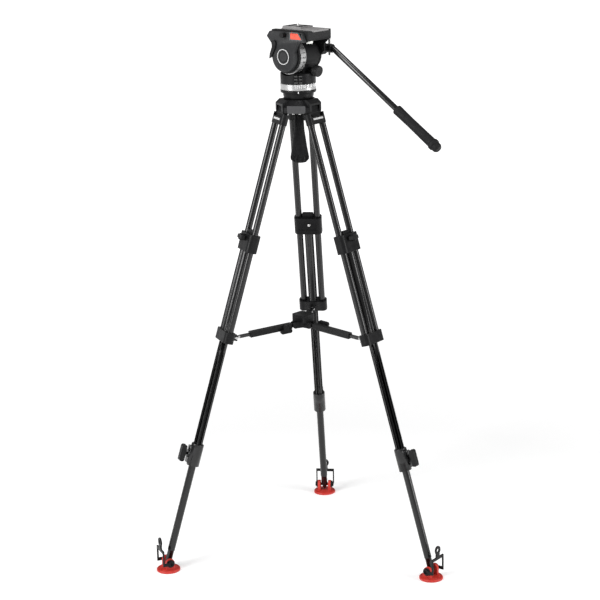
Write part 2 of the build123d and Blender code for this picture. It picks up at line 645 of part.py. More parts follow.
def wing_knob(depth, height):
    """Wing knob on a threaded shaft, its head clear of the face it locks."""
    shaft = rod_x(3.5, MID_TUBE_R + 2.5, depth + 1)
    head = Pos(depth + FACE_GAP, 0, 0) * wing(8.0, 13.0, 13.5, 9.0)
    return Pos(0, 0, height) * (shaft + head)


def mid_tube():
    """Mid tube with the clamp barrel that grips the lower tube."""
    tube = rod(MID_TUBE_R, CLAMP_LOW + 12, SLIDER_HIGH - 8)
    tube = tube - rod(MID_TUBE_R - TUBE_WALL, CLAMP_LOW, SLIDER_HIGH)
    barrel = rod(CLAMP_R, CLAMP_LOW, CLAMP_HIGH)
    barrel = chamfer(barrel.edges().group_by(Axis.Z)[-1], 2.0)
    boss = rod_x(9.5, 0, CLAMP_R + 7, z=(CLAMP_LOW + CLAMP_HIGH) / 2)
    lug = block((4, CLAMP_R + 4), (-9.5, 9.5), (CLAMP_LOW + 6, CLAMP_HIGH - 8))
    barrel = barrel + boss + lug
    barrel = barrel - rod(MID_TUBE_R, CLAMP_LOW + 12, 400) - rod(LOWER_TUBE_R + SLIDE_GAP, 0, 400)
    middle = (CLAMP_LOW + CLAMP_HIGH) / 2
    barrel = barrel - rod_x(3.5 + RUNNING, MID_TUBE_R + 1.5, 60, z=middle)
    return Compound(children=[tube, barrel])


def clamp_knob():
    """T-knob of the lower clamp, standing off on its shaft."""
    face = CLAMP_R + 7
    shaft = rod_x(3.5, MID_TUBE_R + 2.5, face + 6)
    plate = block((face + 5, face + 18), (-6.5, 6.5), (-21, 21))
    plate = fillet(plate.edges().filter_by(Axis.Y), 5)
    return Pos(0, 0, (CLAMP_LOW + CLAMP_HIGH) / 2) * (shaft + plate)


def lower_tube():
    """Lower tube with its steel tip, pierced by the foot's pivot."""
    tube = rod(LOWER_TUBE_R, 30, LOWER_TUBE_TOP) - rod(LOWER_TUBE_R - TUBE_WALL, 46, LOWER_TUBE_TOP + 1)
    tip = turned([(0, -14), (2, -14), (6.5, -4), (8, 2), (8, 30), (0, 30)])
    return tube + (tip - rod_y(PIVOT_R + RUNNING, -30, 30))


# ---- foot: modelled on the foot plane ----
def foot():
    """Rubber foot: a flat disc with a rim, and two ears on its pivot pin."""
    base = -PIVOT_HEIGHT
    disc = rod(FOOT_R, base, base + FOOT_RIM)
    disc = fillet(disc.edges().group_by(Axis.Z)[-1], 2.0)
    step = rod(FOOT_R - 7, base + 4, base + 7)
    inner, outer = EAR_GAP / 2, EAR_GAP / 2 + EAR_THICK
    ear = block((-11, 11), (inner, outer), (base + 4, 0)) + rod_y(11, inner, outer)
    ear = ear - rod_y(PIVOT_R, 0, 40)
    pin_gap = rod_y(PIVOT_R, -outer - 4, outer + 4)
    buttons = rod_y(BUTTON_R, outer, outer + 3.5)
    solids = disc + step + ear + mirror(ear, Plane.XZ)
    pin = pin_gap + buttons + mirror(buttons, Plane.XZ)
    return Compound(children=[solids, pin])


def bail():
    """Bail hooked round the ears' outer faces, with a finger ring at its top."""
    inner = EAR_GAP / 2 + EAR_THICK + 3.5 + FACE_GAP
    thick = 3.2
    outer = inner + thick
    arm = block((0, 21), (inner, outer), (-4, 4)) + rod_y(6.5, inner, outer)
    rise = block((17, 21), (inner, outer), (-4, 34))
    arms = arm + rise
    arms = arms + mirror(arms, Plane.XZ)
    bridge = block((17, 21), (-outer, outer), (30, 37))
    neck = block((17, 21), (-7, 7), (36, 50))
    ring = rod_x(BAIL_RING_R, 17, 21, z=BAIL_TOP - BAIL_RING_R) - rod_x(BAIL_HOLE_R, 10, 30, z=BAIL_TOP - BAIL_RING_R)
    return arms + bridge + neck + ring - rod_y(PIVOT_R + RUNNING, -60, 60)


# ---- spreader: modelled on the arm plane, hub in its own place ----
def spreader_hub():
    """Central block with a slotted lobe for each arm's tongue."""
    _, _, hub_r, hub_z = spreader_points()
    body = rod(15, -6, 9) + slab(44, 40, 8, HUB_HIGH, 7)
    for azimuth in LEG_AZIMUTHS.values():
        lobe = block((0, hub_r), (-10.5, 10.5), (-7, 8.5)) + rod_y(7.5, -10.5, 10.5, x=hub_r)
        body = body + Rot(0, 0, azimuth) * lobe
    for azimuth in LEG_AZIMUTHS.values():
        slot = block((hub_r - 8, 80), (-TONGUE_THICK / 2 - 0.4, TONGUE_THICK / 2 + 0.4), (-20, 7.8))
        body = body - Rot(0, 0, azimuth) * slot
        body = body - Rot(0, 0, azimuth) * rod_y(2.5 + RUNNING, -20, 20, x=hub_r)
    return Pos(0, 0, hub_z) * body


def spreader_arm(knob_side):
    """Outer channel with its tongue and pin in the hub, and a thumb lever on its flank."""
    half_w, half_h = CHANNEL_WIDTH / 2, CHANNEL_HEIGHT / 2
    channel = block((9, 9 + CHANNEL_LENGTH), (-half_w, half_w), (-half_h, half_h))
    hollow = block(
        (CHANNEL_FLOOR, 200),
        (-BAR_WIDTH / 2 - SLIDE_GAP, BAR_WIDTH / 2 + SLIDE_GAP),
        (-BAR_HEIGHT / 2 - SLIDE_GAP, BAR_HEIGHT / 2 + SLIDE_GAP),
    )
    tongue = block((0, 12), (-TONGUE_THICK / 2, TONGUE_THICK / 2), (-5, 5)) + rod_y(5, -3, 3)
    body = channel + tongue + rod_y(2.5, -10.5, 10.5) - hollow
    shaft = rod_y(4.0, half_w, half_w + 3, x=ARM_KNOB_X)
    boss = rod_y(7.5, half_w + 2, half_w + 11, x=ARM_KNOB_X)
    lever = block((ARM_KNOB_X - 15, ARM_KNOB_X + 15), (half_w + 3, half_w + 10), (2, 13))
    lever = fillet(lever.edges().filter_by(Axis.Y), 5)
    thumb = boss + (lever if knob_side > 0 else mirror(lever, Plane.XY))
    return Compound(children=[body, shaft + thumb])


def spreader_bar():
    """Inner bar with the tongue that meets the coupling's ears."""
    length = arm_length()
    low = 9 + CHANNEL_LENGTH - BAR_OVERLAP
    bar = block((low, length - 12), (-BAR_WIDTH / 2, BAR_WIDTH / 2), (-BAR_HEIGHT / 2, BAR_HEIGHT / 2))
    tongue = block((length - 16, length), (-TONGUE_THICK / 2, TONGUE_THICK / 2), (-3.5, 3.5))
    eye = rod_y(4.5, -TONGUE_THICK / 2, TONGUE_THICK / 2, x=length)
    pin = rod_y(2.8, -TONGUE_THICK / 2 - 4, TONGUE_THICK / 2 + 4, x=length)
    return bar + tongue + eye + pin


def build():
    """Every node's shape, placed about the tripod's axis with the floor at zero."""
    shapes = {
        "crown": crown(), "crown_fasteners": crown_fasteners(),
        "levelling_ball": levelling_ball(), "clamp_bolt": clamp_bolt(), "clamp_cup": clamp_cup(),
        "bowl_clamp_handle": bowl_clamp_handle(), "pan_drag_ring": pan_drag_ring(),
        "pan_housing": pan_housing(), "pan_brake_lever": pan_brake_lever(),
        "counterbalance_knob": counterbalance_knob(), "counterbalance_spring": counterbalance_spring(),
        "tilt_axle": tilt_axle(), "tilt_drag_ring": tilt_drag_ring(), "tilt_body": tilt_body(),
        "left_cover": left_cover(), "right_cover": right_cover(), "bubble_level": bubble_level(),
        "tilt_brake_lever": tilt_brake_lever(), "plate_clamp_knob": plate_clamp_knob(),
        "release_lever": release_lever(), "camera_plate": camera_plate(), "camera_screw": camera_screw(),
        "bar_clamp": bar_clamp(), "bar_screw": bar_screw(), "pan_bar": pan_bar(), "grip": grip(),
        "spreader_hub": spreader_hub(),
    }
    on_leg = {
        "leg_castings": leg_castings(), "upper_tubes": upper_tubes(), "slider": slider(),
        "slider_knob": wing_knob(SLIDER_DEPTH / 2, SLIDER_HIGH - 12), "mid_tube": mid_tube(),
        "clamp_knob": clamp_knob(), "lower_tube": lower_tube(),
    }
    on_foot = {"foot": foot(), "bail": bail()}
    for name, azimuth in LEG_AZIMUTHS.items():
        on_arm = {"spreader_arm": spreader_arm(THUMB_SIDES[name]), "spreader_bar": spreader_bar()}
        for group, plane in ((on_leg, leg_plane), (on_foot, foot_plane), (on_arm, arm_plane)):
            for node, shape in group.items():
                shapes[f"{node}_{name}"] = plane(azimuth).location * shape
    return shapes


def centred(shapes):
    """The shapes moved sideways so that the whole tripod's box is centred on the origin."""
    boxes = [shape.bounding_box() for shape in shapes.values()]
    middle_x = (min(b.min.X for b in boxes) + max(b.max.X for b in boxes)) / 2
    middle_y = (min(b.min.Y for b in boxes) + max(b.max.Y for b in boxes)) / 2
    print(f"tripod axis at {-middle_x:.4f}, {-middle_y:.4f}")
    place = Pos(-middle_x, -middle_y, 0)
    return {name: Compound(children=(place * shape).solids()) for name, shape in shapes.items()}


os.makedirs("parts", exist_ok=True)
for name, shape in centred(build()).items():
    export_step(shape, f"parts/{name}.step")
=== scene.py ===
import json
from math import cos, pi, radians, sin

import bmesh
import bpy
from mathutils import Matrix, Vector

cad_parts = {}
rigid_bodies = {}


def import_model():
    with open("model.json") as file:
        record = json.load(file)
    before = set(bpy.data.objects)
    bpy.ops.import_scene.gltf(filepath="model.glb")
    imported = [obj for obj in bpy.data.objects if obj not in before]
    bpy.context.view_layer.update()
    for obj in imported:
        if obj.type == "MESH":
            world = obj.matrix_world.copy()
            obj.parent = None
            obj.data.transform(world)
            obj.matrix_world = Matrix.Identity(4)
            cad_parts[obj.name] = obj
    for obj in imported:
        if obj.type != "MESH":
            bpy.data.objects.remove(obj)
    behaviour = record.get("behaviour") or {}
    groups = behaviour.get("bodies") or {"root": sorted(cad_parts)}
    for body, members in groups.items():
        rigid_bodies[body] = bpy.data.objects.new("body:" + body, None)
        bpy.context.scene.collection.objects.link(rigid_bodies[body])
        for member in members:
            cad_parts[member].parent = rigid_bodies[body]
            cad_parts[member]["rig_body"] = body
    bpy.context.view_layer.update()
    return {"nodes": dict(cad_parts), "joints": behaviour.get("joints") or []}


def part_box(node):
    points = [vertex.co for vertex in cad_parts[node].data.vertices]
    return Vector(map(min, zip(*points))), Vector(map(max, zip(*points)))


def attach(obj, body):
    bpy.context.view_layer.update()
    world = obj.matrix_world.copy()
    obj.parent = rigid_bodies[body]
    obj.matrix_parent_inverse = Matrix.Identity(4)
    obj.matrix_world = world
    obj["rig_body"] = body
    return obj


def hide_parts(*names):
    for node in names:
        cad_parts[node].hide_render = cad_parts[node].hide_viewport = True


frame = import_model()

# A tripod with a fluid head, in metres, in the frame of its CAD model: the lens points along -Y,
# the operator stands at +Y and the left cover is on the +X side.
# The details' sizes and all outlines are millimetres; edge widths, lights and the floor are metres.
MM = 0.001
LEGS = ("rear", "right", "left")
JOINTS = {joint["name"]: joint for joint in frame["joints"]}
UP = Vector((0, 0, 1))


def joint_point(name):
    return Vector(JOINTS[name]["pos_m"])


def joint_axis(name):
    return Vector(JOINTS[name]["axis"])


def basis(origin, x_axis, z_axis):
    """The matrix of a frame from its origin, X and Z."""
    z = z_axis.normalized()
    x = (x_axis - z * x_axis.dot(z)).normalized()
    y = z.cross(x)
    matrix = Matrix((x, y, z)).transposed().to_4x4()
    matrix.translation = origin
    return matrix


AXIS = joint_point("pan_turn")
TILT = joint_point("tilt_turn")
TRIPOD_AXIS = Vector((AXIS.x, AXIS.y, 0))
PAN_FRAME = Matrix.Translation(AXIS)
TILT_FRAME = Matrix.Translation(TILT)

# ---- widths of the softened edges, in metres ----
NO_EDGE = 0.0
CRISP_EDGE = 0.0003
FINE_EDGE = 0.0006
SOFT_EDGE = 0.0008
MOULDED_EDGE = 0.0010
CROWN_EDGE = 0.0012
KNOB_EDGE = 0.0014
CAST_EDGE = 0.0016
COVER_EDGE = 0.0020

# ---- the details' sizes, in millimetres ----
CAP_FACE = 51.5                 # outer face of the left cover's cap, from the tilt axis's centre along X
CAP_RING_R = 17.5
COVER_FACE = 50.0
RING_R = 43.0                   # tilt drag ring, and the flange of the ball
MARK_HIGH = 3.6                 # middle of the white index mark above the pan joint
DIAL_MIDDLE = 26.3              # tilt ring's middle along X
DIAL_FIGURES = 8
DIAL_STEP = 15                  # degrees between figures
DIAL_START = 28                 # first figure above the level line at the back, in degrees
BRAKE_FACE_R = 51.4             # brake lever's outer face from the pan axis
BLOCK_FACE_HIGH = 9.4           # middle of a crown block's face above the leg hinges
PIN_REACH = 38.5                # anything of the crown fasteners beyond this, towards a leg, is a pin
STRIP_MIDDLE = 1124.3           # plain strip's place along the leg, from the foot pivot
BRACKET_FACE = 9.5              # leg bracket's outer face in front of the leg axis
SLIDER_BOLT = (-13.8, -3, 823)  # in the leg's frame, on the slider's inner face
BUTTON_START = 17.6             # foot's buttons stand beyond this, along the hinge
BUTTON_LOW = -9.6
BUTTON_R = 9.7
BUTTON_FACE = 21.0
FOOT_TOP = -17.5                # upper side of the foot's disc below the pivot
BRIGHT_TIP = 25                 # bright length at the end of a spreader bar


def leg_frame(leg):
    """Origin at the foot pivot, Z up the leg, X outward, Y along the hinge."""
    up = -joint_axis(f"mid_slide_{leg}")
    outward = joint_axis(f"leg_fold_{leg}").cross(up)
    return basis(joint_point(f"foot_tilt_{leg}"), outward, up)


def foot_frame(leg):
    """Origin at the foot pivot, Z upright, X outward."""
    outward = joint_axis(f"leg_fold_{leg}").cross(UP)
    return basis(joint_point(f"foot_tilt_{leg}"), outward, UP)


def arm_frame(leg):
    """Origin at the hub pivot, X along the spreader's arm."""
    along = joint_axis(f"arm_bar_slide_{leg}")
    return basis(joint_point(f"arm_swing_{leg}"), along, along.cross(joint_axis(f"arm_swing_{leg}")))


# ---- materials ----
class Shader:
    """A Principled material and the small node chains that give it its detail."""

    def __init__(self, name, colour, roughness, metallic=0.0, coat=0.0, gloss=0.5):
        self.material = bpy.data.materials.new(name)
        self.material.use_nodes = True
        self.tree = self.material.node_tree
        self.out = self.tree.nodes["Principled BSDF"]
        self.out.inputs["Base Color"].default_value = (*colour, 1)
        self.out.inputs["Roughness"].default_value = roughness
        self.out.inputs["Metallic"].default_value = metallic
        self.out.inputs["Coat Weight"].default_value = coat
        self.out.inputs["Specular IOR Level"].default_value = gloss
        self.height = None
        self.coords = self.tree.nodes.new("ShaderNodeTexCoord")

    def node(self, kind, **values):
        """A new node with some of its settings."""
        made = self.tree.nodes.new(kind)
        for key, value in values.items():
            setattr(made, key, value)
        return made

    def link(self, source, target):
        self.tree.links.new(source, target)

    def noise(self, scale, detail, stretch=(1, 1, 1)):
        """A noise value over the object, with its coordinates stretched."""
        mapping = self.node("ShaderNodeMapping")
        mapping.inputs["Scale"].default_value = stretch
        noise = self.node("ShaderNodeTexNoise")
        noise.inputs["Scale"].default_value = scale
        noise.inputs["Detail"].default_value = detail
        self.link(self.coords.outputs["Object"], mapping.inputs["Vector"])
        self.link(mapping.outputs["Vector"], noise.inputs["Vector"])
        return noise.outputs["Fac"]

    def ranged(self, source, low, high, start=0.35, end=0.65):
        """The source value mapped to a range."""
        mapped = self.node("ShaderNodeMapRange")
        mapped.inputs["From Min"].default_value = start
        mapped.inputs["From Max"].default_value = end
        mapped.inputs["To Min"].default_value = low
        mapped.inputs["To Max"].default_value = high
        self.link(source, mapped.inputs["Value"])
        return mapped.outputs["Result"]

    def tint(self, source, other):
        """Blend the base colour towards another one."""
        mix = self.node("ShaderNodeMix", data_type="RGBA")
        current = self.out.inputs["Base Color"]
        if current.is_linked:
            self.link(current.links[0].from_socket, mix.inputs[6])
        else:
            mix.inputs[6].default_value = current.default_value
        mix.inputs[7].default_value = (*other, 1)
        self.link(source, mix.inputs[0])
        self.link(mix.outputs[2], current)

    def rough(self, source, low, high):
        """Vary the roughness between two values."""
        self.link(self.ranged(source, low, high), self.out.inputs["Roughness"])

    def bump(self, source, distance, strength):
        """Raise and sink the surface by a height in metres, on top of earlier bumps."""
        bump = self.node("ShaderNodeBump")
        bump.inputs["Distance"].default_value = distance
        bump.inputs["Strength"].default_value = strength
        self.link(source, bump.inputs["Height"])
        if self.height is not None:
            self.link(self.height, bump.inputs["Normal"])
        self.height = bump.outputs["Normal"]
        self.link(self.height, self.out.inputs["Normal"])

    def edge_wear(self, colour, amount):
        """Lighter worn edges, where the surface is convex."""
        geometry = self.node("ShaderNodeNewGeometry")
        edge = self.ranged(geometry.outputs["Pointiness"], 0, amount, 0.52, 0.6)
        spots = self.ranged(self.noise(900, 2), 0, 1, 0.4, 0.6)
        both = self.node("ShaderNodeMath", operation="MULTIPLY")
        self.link(edge, both.inputs[0])
        self.link(spots, both.inputs[1])
        self.tint(both.outputs[0], colour)


def moulded(name, colour, second, roughness, gloss=0.4, grain=2600, depth=0.00012, worn=(0.07, 0.07, 0.07)):
    """Fibre-filled plastic: cloudy tone, fine spark-eroded grain, lighter worn edges."""
    s = Shader(name, colour, roughness, gloss=gloss)
    s.tint(s.ranged(s.noise(60, 4), 0, 0.6), second)
    s.tint(s.ranged(s.noise(grain * 1.3, 2), 0, 0.4, 0.45, 0.7), tuple(1.6 * c for c in second))
    s.rough(s.noise(45, 3), roughness - 0.07, roughness + 0.09)
    s.bump(s.noise(grain, 3), depth, 0.6)
    s.edge_wear(worn, 0.35)
    return s.material


def painted(name, colour, second, roughness, gloss=0.4):
    """Satin paint over cast aluminium, slightly uneven like orange peel."""
    s = Shader(name, colour, roughness, gloss=gloss)
    s.tint(s.ranged(s.noise(35, 4), 0, 0.6), second)
    s.rough(s.noise(60, 4), roughness - 0.08, roughness + 0.08)
    s.bump(s.noise(900, 4), 0.00018, 0.4)
    s.edge_wear((0.09, 0.09, 0.09), 0.25)
    return s.material


def anodised():
    """Black anodised tube with drawing lines along its length."""
    s = Shader("anodised", (0.003, 0.003, 0.0033), 0.22, gloss=0.5)
    s.tint(s.ranged(s.noise(500, 2, (1, 1, 0.004)), 0, 0.6), (0.006, 0.006, 0.0065))
    s.rough(s.noise(300, 3, (1, 1, 0.01)), 0.2, 0.28)
    s.bump(s.noise(1800, 2, (1, 1, 0.003)), 0.00004, 0.5)
    s.tint(s.ranged(s.noise(140, 5, (1, 1, 0.3)), 0, 0.2, 0.68, 0.76), (0.05, 0.05, 0.05))
    return s.material


def turned_metal():
    """Satin turned aluminium with fine tool lines."""
    s = Shader("turned_metal", (0.42, 0.42, 0.42), 0.3, metallic=0.8)
    s.rough(s.noise(260, 4), 0.26, 0.36)
    s.bump(s.noise(1600, 2, (0.05, 0.05, 1)), 0.00003, 0.3)
    s.tint(s.ranged(s.noise(90, 4), 0, 0.35, 0.5, 0.75), (0.34, 0.34, 0.335))
    return s.material


def bright_steel():
    """Plain zinc-plated steel."""
    s = Shader("bright_steel", (0.7, 0.7, 0.69), 0.3, metallic=0.75)
    s.rough(s.noise(400, 4), 0.22, 0.42)
    s.tint(s.ranged(s.noise(160, 4), 0, 0.4, 0.5, 0.7), (0.45, 0.44, 0.42))
    s.bump(s.noise(1500, 3), 0.00004, 0.4)
    return s.material


def red_rubber():
    """Moulded red rubber, a little dusty."""
    s = Shader("red_rubber", (0.5, 0.02, 0.012), 0.5)
    s.tint(s.ranged(s.noise(70, 5), 0, 0.5), (0.6, 0.045, 0.025))
    s.tint(s.ranged(s.noise(420, 5), 0, 0.22, 0.55, 0.75), (0.5, 0.18, 0.14))
    s.rough(s.noise(120, 4), 0.4, 0.62)
    s.bump(s.noise(1300, 3), 0.00015, 0.5)
    return s.material


def red_plastic():
    """Smooth red moulding."""
    s = Shader("red_plastic", (0.85, 0.055, 0.025), 0.3, coat=0.2)
    s.tint(s.ranged(s.noise(80, 3), 0, 0.5), (0.92, 0.1, 0.055))
    s.rough(s.noise(200, 3), 0.24, 0.38)
    s.bump(s.noise(2400, 2), 0.00003, 0.4)
    return s.material


def level_white():
    """Milky plastic ring of the level."""
    s = Shader("level_white", (0.88, 0.89, 0.85), 0.3)
    s.tint(s.ranged(s.noise(200, 3), 0, 0.4), (0.8, 0.82, 0.74))
    s.rough(s.noise(300, 3), 0.22, 0.36)
    return s.material


def floor_paint():
    """A pale studio floor that glows as a lit sweep does, a painted light: dimmer near its middle and
    brighter further out.
    """
    s = Shader("floor_paint", (0.8, 0.8, 0.8), 0.8, gloss=0.1)
    s.tint(s.ranged(s.noise(3, 4), 0, 0.3), (0.78, 0.78, 0.78))
    s.rough(s.noise(8, 3), 0.75, 0.85)
    s.bump(s.noise(400, 3), 0.0001, 0.3)
    s.out.inputs["Emission Color"].default_value = (1, 1, 1, 1)
    # Painted light: the floor's glow grows with distance from its middle.
    distance = s.node("ShaderNodeVectorMath", operation="LENGTH")
    s.link(s.coords.outputs["Object"], distance.inputs[0])
    s.link(s.ranged(distance.outputs["Value"], 0.3, 0.95, 1.0, 3.4), s.out.inputs["Emission Strength"])
    return s.material


COMPOSITE = moulded("composite", (0.0035, 0.0035, 0.004), (0.006, 0.006, 0.0065), 0.42, gloss=0.13)
COVER = moulded("cover_plastic", (0.015, 0.0155, 0.0165), (0.021, 0.0215, 0.0225), 0.42, gloss=0.13,
                worn=(0.14, 0.14, 0.14))
FRAME_GREY = moulded("frame_plastic", (0.07, 0.082, 0.082), (0.09, 0.1, 0.1), 0.4)
NYLON = moulded("nylon", (0.004, 0.004, 0.0045), (0.008, 0.008, 0.0085), 0.4, gloss=0.16)
BLACK_RUBBER = moulded("black_rubber", (0.006, 0.006, 0.0065), (0.011, 0.011, 0.012), 0.6, gloss=0.13,
                       depth=0.0002)
CASTING = painted("casting", (0.0035, 0.0035, 0.004), (0.006, 0.006, 0.0065), 0.36, gloss=0.14)
BLOCK_GREY = painted("block_grey", (0.05, 0.05, 0.052), (0.06, 0.06, 0.063), 0.42, gloss=0.2)
# Black plastic lightened to grey: a painted highlight on the brake lever's ridges.
RIB_PLASTIC_PAINTED_SHEEN = moulded("rib_plastic", (0.02, 0.02, 0.02), (0.028, 0.028, 0.028), 0.3, gloss=0.6)
PLATE_METAL = painted("plate_metal", (0.2, 0.195, 0.195), (0.26, 0.255, 0.255), 0.45, gloss=0.25)
LABEL = painted("plain_label", (0.5, 0.5, 0.5), (0.58, 0.58, 0.58), 0.35)
WHITE_MARK = painted("white_mark", (0.85, 0.85, 0.85), (0.8, 0.8, 0.8), 0.4)
ANODISED = anodised()
TURNED = turned_metal()
STEEL = bright_steel()
RED_RUBBER = red_rubber()
RED_PLASTIC = red_plastic()
LEVEL_WHITE = level_white()


# ---- mesh makers ----
def body_name(node):
    """The body that a CAD node belongs to."""
    return frame["nodes"][node]["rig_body"]


def new_piece(name, mesh, material, body, matrix, width):
    """An object from a mesh, softened along its edges, riding on a body."""
    obj = bpy.data.objects.new(name, mesh)
    bpy.context.scene.collection.objects.link(obj)
    obj.matrix_world = matrix
    mesh.materials.clear()
    mesh.materials.append(material)
    for polygon in mesh.polygons:
        polygon.use_smooth = True
    if width:
        bevel = obj.modifiers.new("bevel", "BEVEL")
        bevel.width = width
        bevel.segments = 2
        bevel.limit_method = "ANGLE"
        bevel.angle_limit = radians(34)
        bevel.harden_normals = True
        bevel.use_clamp_overlap = True
    normals = obj.modifiers.new("normals", "WEIGHTED_NORMAL")
    normals.keep_sharp = True
    normals.weight = 80
    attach(obj, body)
    return obj


def paint(obj, material, test):
    """Give a second material to the faces whose centre and normal pass the test."""
    mesh = obj.data
    mesh.materials.append(material)
    last = len(mesh.materials) - 1
    for polygon in mesh.polygons:
        if test(polygon.center / MM, polygon.normal):
            polygon.material_index = last


def finished(node, material, width, matrix=Matrix.Identity(4)):
    """A softened copy of a CAD node, in a frame of its own, that stands for the node."""
    mesh = frame["nodes"][node].data.copy()
    work = bmesh.new()
    work.from_mesh(mesh)
    bmesh.ops.remove_doubles(work, verts=work.verts, dist=1e-6)
    bmesh.ops.dissolve_limit(work, angle_limit=radians(0.6), verts=work.verts, edges=work.edges)
    work.transform(matrix.inverted())
    work.to_mesh(mesh)
    work.free()
    obj = new_piece(f"{node}_shape", mesh, material, body_name(node), matrix, width)
    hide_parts(node)
    return obj


def lathe(name, profile, material, body, matrix, segments):
    """A closed profile of (radius, height) in millimetres, turned about Z."""
    work = bmesh.new()
    rows = []
    for step in range(segments):
        turn = 2 * pi * step / segments
        rows.append([work.verts.new((r * cos(turn) * MM, r * sin(turn) * MM, z * MM)) for r, z in profile])
    count = len(profile)
    for step in range(segments):
        here, there = rows[step], rows[(step + 1) % segments]
        for index in range(count):
            after = (index + 1) % count
            work.faces.new((here[index], there[index], there[after], here[after]))
    return from_bmesh(name, work, material, body, matrix, NO_EDGE)


def prism(name, outline, low, high, material, body, matrix, width):
    """A polygon in XY, in millimetres, from one height to another."""
    work = bmesh.new()
    lower = [work.verts.new((x * MM, y * MM, low * MM)) for x, y in outline]
    upper = [work.verts.new((x * MM, y * MM, high * MM)) for x, y in outline]
    work.faces.new(lower)
    work.faces.new(upper)
    for index in range(len(outline)):
        after = (index + 1) % len(outline)
        work.faces.new((lower[index], lower[after], upper[after], upper[index]))
    return from_bmesh(name, work, material, body, matrix, width)


def from_bmesh(name, work, material, body, matrix, width):
    """A piece from a finished bmesh, its faces turned outwards."""
    bmesh.ops.remove_doubles(work, verts=work.verts, dist=1e-7)
    bmesh.ops.recalc_face_normals(work, faces=work.faces)
    mesh = bpy.data.meshes.new(name)
    work.to_mesh(mesh)
    work.free()
    return new_piece(name, mesh, material, body, matrix, width)


def plate(name, x_span, y_span, z_span, material, body, matrix, width=0.0002):
    """A rectangular block with softened edges, between three pairs of millimetres."""
    (x0, x1), (y0, y1) = x_span, y_span
    return prism(name, [(x0, y0), (x1, y0), (x1, y1), (x0, y1)], *z_span, material, body, matrix, width)


def facing(matrix, place, direction, upward=(0, 0, 1)):
    """A frame at a place, in millimetres, whose Z looks along a direction."""
    return matrix @ basis(Vector(place) * MM, Vector(direction).cross(Vector(upward)), Vector(direction))


def screw_head(name, radius, height, material, body, matrix):
    """Pan head with a hexagon socket."""
    hexagon = radius * 0.45
    profile = [
        (0, 0), (radius, 0), (radius, height * 0.6), (radius * 0.8, height), (hexagon, height),
        (hexagon * 0.95, height * 0.35), (0, height * 0.35),
    ]
    return lathe(name, profile, material, body, matrix, 24)


# ---- camera, light and floor ----
CAMERA_DISTANCE = 4.3213        # metres from the tripod's axis
CAMERA_HEIGHT = 1.7960          # metres above the floor
CAMERA_AZIMUTH = 42.0           # all angles in degrees
CAMERA_YAW = -0.0926
CAMERA_PITCH = 14.9109
CAMERA_ROLL = -1.2360
SENSOR_WIDTH = 36.0             # millimetres
FOCAL_WIDTHS = 3.0271           # focal length in sensor widths
CAMERA_SIDE = Vector((cos(radians(CAMERA_AZIMUTH)), sin(radians(CAMERA_AZIMUTH)), 0))
SURROUND_STRENGTH = 0.3
FLOOR_HALF = 30.0
FLOOR_DROP = 0.0005             # keeps the floor just clear of the feet


def camera():
    """The viewpoint, its heading measured from the line to the tripod's axis."""
    yaw, pitch, roll = radians(CAMERA_YAW), radians(CAMERA_PITCH), radians(CAMERA_ROLL)
    away = -CAMERA_SIDE
    across = away.cross(UP)
    level = across * sin(yaw) + away * cos(yaw)
    look = level * cos(pitch) - UP * sin(pitch)
    right = look.cross(UP).normalized()
    upward = right.cross(look)
    tilted_right = right * cos(roll) + upward * sin(roll)
    data = bpy.data.cameras.new("camera")
    data.sensor_width = SENSOR_WIDTH
    data.lens = SENSOR_WIDTH * FOCAL_WIDTHS
    data.clip_end = 50
    obj = bpy.data.objects.new("camera", data)
    bpy.context.scene.collection.objects.link(obj)
    obj.matrix_world = basis(TRIPOD_AXIS - away * CAMERA_DISTANCE + UP * CAMERA_HEIGHT, tilted_right, -look)
    bpy.context.scene.camera = obj


def area_light(name, place, target, size, power):
    """A rectangular soft box at a place, looking at the target."""
    data = bpy.data.lights.new(name, "AREA")
    data.shape = "RECTANGLE"
    data.size, data.size_y = size
    data.energy = power
    obj = bpy.data.objects.new(name, data)
    bpy.context.scene.collection.objects.link(obj)
    obj.matrix_world = basis(place, UP.cross(place - target), place - target)


def studio():
    """A pale glowing floor, a white surround that lights softly, and three soft boxes."""
    world = bpy.data.worlds.new("surround")
    world.use_nodes = True
    background = world.node_tree.nodes["Background"]
    background.inputs["Color"].default_value = (1, 1, 1, 1)
    background.inputs["Strength"].default_value = SURROUND_STRENGTH
    bpy.context.scene.world = world
    middle = TRIPOD_AXIS + UP * 0.7
    side = CAMERA_SIDE.cross(UP)
    area_light("key", middle + CAMERA_SIDE * 1.5 + side * 2.1 + UP * 1.3, middle, (1.2, 2.4), 84)
    area_light("rim", middle + CAMERA_SIDE * 0.9 - side * 2.4 + UP * 0.6, middle, (0.8, 2.4), 50)
    area_light("top", middle + CAMERA_SIDE * 0.5 + UP * 2.6, middle, (0.8, 0.8), 20)
    mesh = bpy.data.meshes.new("floor")
    corners = [(-1, -1, 0), (1, -1, 0), (1, 1, 0), (-1, 1, 0)]
    mesh.from_pydata([Vector(corner) * FLOOR_HALF for corner in corners], [], [(0, 1, 2, 3)])
    floor = bpy.data.objects.new("floor", mesh)
    bpy.context.scene.collection.objects.link(floor)
    mesh.materials.append(floor_paint())
    floor.location.z = -FLOOR_DROP
    bpy.context.scene.view_settings.view_transform = "Standard"


camera()
studio()


